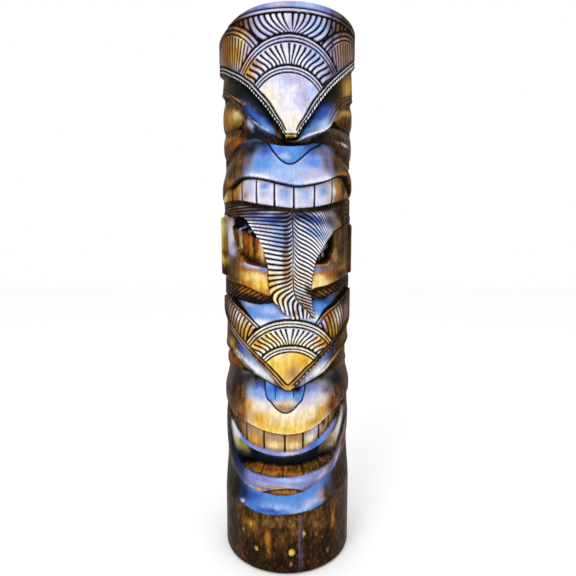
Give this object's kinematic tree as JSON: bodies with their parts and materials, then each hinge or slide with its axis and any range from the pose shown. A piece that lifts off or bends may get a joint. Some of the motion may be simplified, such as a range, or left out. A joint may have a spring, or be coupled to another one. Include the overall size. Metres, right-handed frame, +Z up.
{
  "type": "carved wooden tiki totem",
  "caption": "Upright round log carved with stacked grinning heads, fluted brow shields and a long leaf-shaped tongue, standing on a flat sawn foot.",
  "frame": {"origin": "centre of the sawn foot, on the ground", "axes": "+Z up along the log's axis, -Y the way the faces look, +X to the viewer's right"},
  "size_m": [0.2581, 0.2582, 1],
  "materials": {
    "stained_wood": "dark brown stain, rubbed with amber, gold, blue and white paint, waxed"
  },
  "bodies": {
    "root": {"totem": "stained_wood"}
  },
  "joints": []
}
